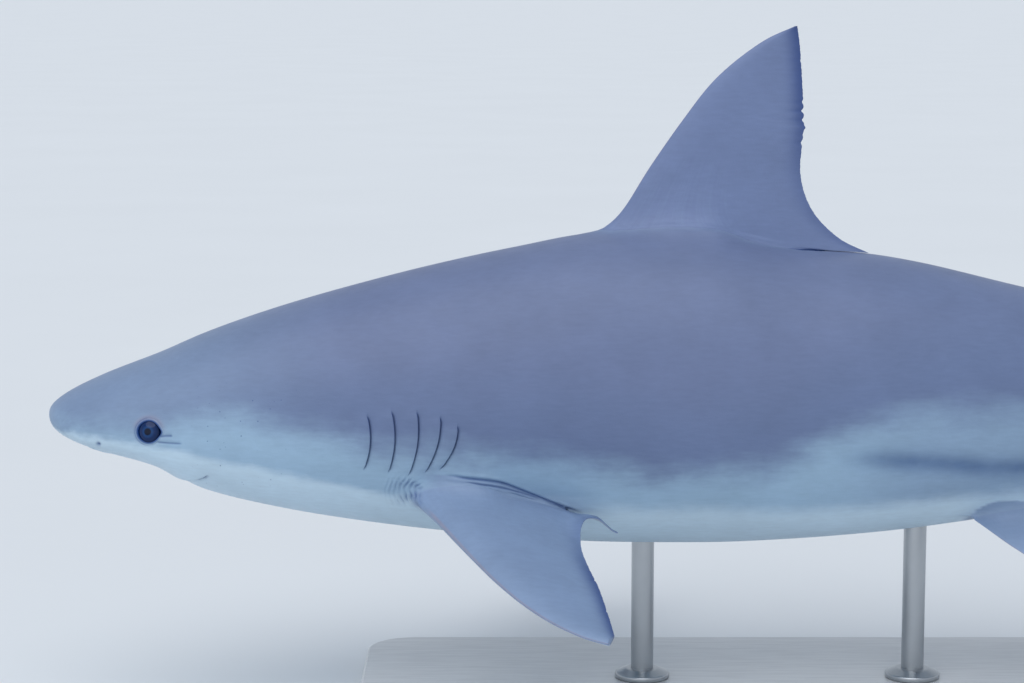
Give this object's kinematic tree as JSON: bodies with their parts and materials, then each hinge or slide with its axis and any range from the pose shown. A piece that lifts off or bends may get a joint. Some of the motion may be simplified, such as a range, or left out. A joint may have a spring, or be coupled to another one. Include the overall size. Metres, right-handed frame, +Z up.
{
  "type": "bull shark, life-size display model",
  "caption": "Still, life-size bull shark swimming level with its tail swept gently to one side, held over a flat rounded base by short rods.",
  "frame": {"origin": "on the floor, at the centre of the model's outline seen from above", "axes": "+X from the snout towards the tail, +Y towards the shark's right side, +Z up"},
  "size_m": [2.231, 0.917, 0.8322],
  "materials": {
    "skin": "satin, slate grey above fading to near white below, finely grained",
    "eye": "polished, near black with a dim ring",
    "base_lacquer": "satin black lacquer",
    "stand_steel": "brushed"
  },
  "bodies": {
    "root": {"head": "skin", "lower_jaw": "skin", "gill_region": "skin", "trunk_front": "skin", "trunk_rear": "skin", "tail_stock": "skin", "caudal_fin_upper_lobe": "skin", "caudal_fin_lower_lobe": "skin", "first_dorsal_fin": "skin", "second_dorsal_fin": "skin", "anal_fin": "skin", "pectoral_fin_left": "skin", "pectoral_fin_right": "skin", "pelvic_fin_left": "skin", "pelvic_fin_right": "skin", "eye_left": "eye", "eye_right": "eye", "stand_base": "base_lacquer", "stand_rod_front": "stand_steel", "stand_rod_rear": "stand_steel", "stand_collar_front": "stand_steel", "stand_collar_rear": "stand_steel"}
  },
  "joints": []
}
